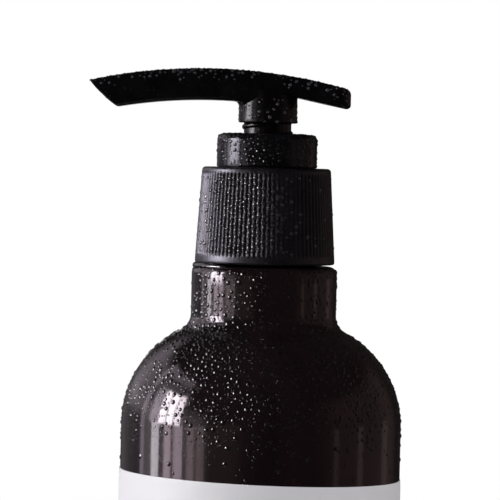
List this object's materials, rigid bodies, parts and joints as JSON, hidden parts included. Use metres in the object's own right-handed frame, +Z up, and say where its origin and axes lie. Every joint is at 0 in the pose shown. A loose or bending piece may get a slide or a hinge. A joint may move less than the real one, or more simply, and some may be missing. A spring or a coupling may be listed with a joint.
{
  "type": "pump oil bottle",
  "caption": "Round-shouldered oil bottle with a screw-on dispensing pump: long curved spout head, ribbed closure, locking collar and plain wrap-round label.",
  "frame": {"origin": "centre of the base, on the bottle's axis, in the plane of the foot ring that it stands on", "axes": "+Z up the bottle's axis; the spout points along -X and the tail of the head along +X; +Y is the back, where the label's ends meet"},
  "size_m": [0.0776, 0.0683, 0.2107],
  "materials": {
    "bottle_plastic": "glossy, near-black plum brown",
    "label_paper": "matt coated paper, bare",
    "pump_plastic": "satin black",
    "head_plastic": "satin black",
    "gasket_foam": "foamed sealing washer",
    "natural_plastic": "natural polypropylene",
    "piston_plastic": "white polyethylene",
    "tube_plastic": "milky polyethylene tube",
    "spring_steel": "drawn stainless wire",
    "ball_steel": "polished stainless ball"
  },
  "bodies": {
    "bottle": {"bottle": "bottle_plastic", "label": "label_paper"},
    "pump": {"housing": "natural_plastic", "chaplet": "pump_plastic", "gasket": "gasket_foam", "dip_tube": "tube_plastic", "return_spring": "spring_steel"},
    "closure": {"closure": "pump_plastic"},
    "stem": {"stem": "natural_plastic", "valve_rod": "natural_plastic"},
    "piston": {"piston": "piston_plastic"},
    "head": {"head": "head_plastic"},
    "ball": {"inlet_ball": "ball_steel"}
  },
  "joints": [
    {"name": "pump_lift", "type": "slide", "parent": "bottle", "child": "pump", "axis": [0, 0, 1], "range_m": [0, 0.00635]},
    {"name": "closure_turn", "type": "hinge", "parent": "pump", "child": "closure", "pos_m": [0, 0, 0.175], "axis": [0, 0, 1], "range_deg": [0, 540]},
    {"name": "head_press", "type": "slide", "parent": "pump", "child": "stem", "axis": [0, 0, 1], "range_m": [0, 0.016], "stiffness_N_per_m": 900, "springref_m": 0.0225, "deforming": ["return_spring"]},
    {"name": "head_turn", "type": "hinge", "parent": "stem", "child": "head", "pos_m": [0, 0, 0.2], "axis": [0, 0, 1], "continuous": true},
    {"name": "piston_float", "type": "slide", "parent": "stem", "child": "piston", "axis": [0, 0, -1], "range_m": [0, 0.0012]},
    {"name": "ball_lift", "type": "slide", "parent": "pump", "child": "ball", "axis": [0, 0, 1], "range_m": [0, 0.0015]}
  ],
  "couplings": [
    {"joint": "pump_lift", "follows": "closure_turn", "m_per_rad": 0.00067375}
  ]
}
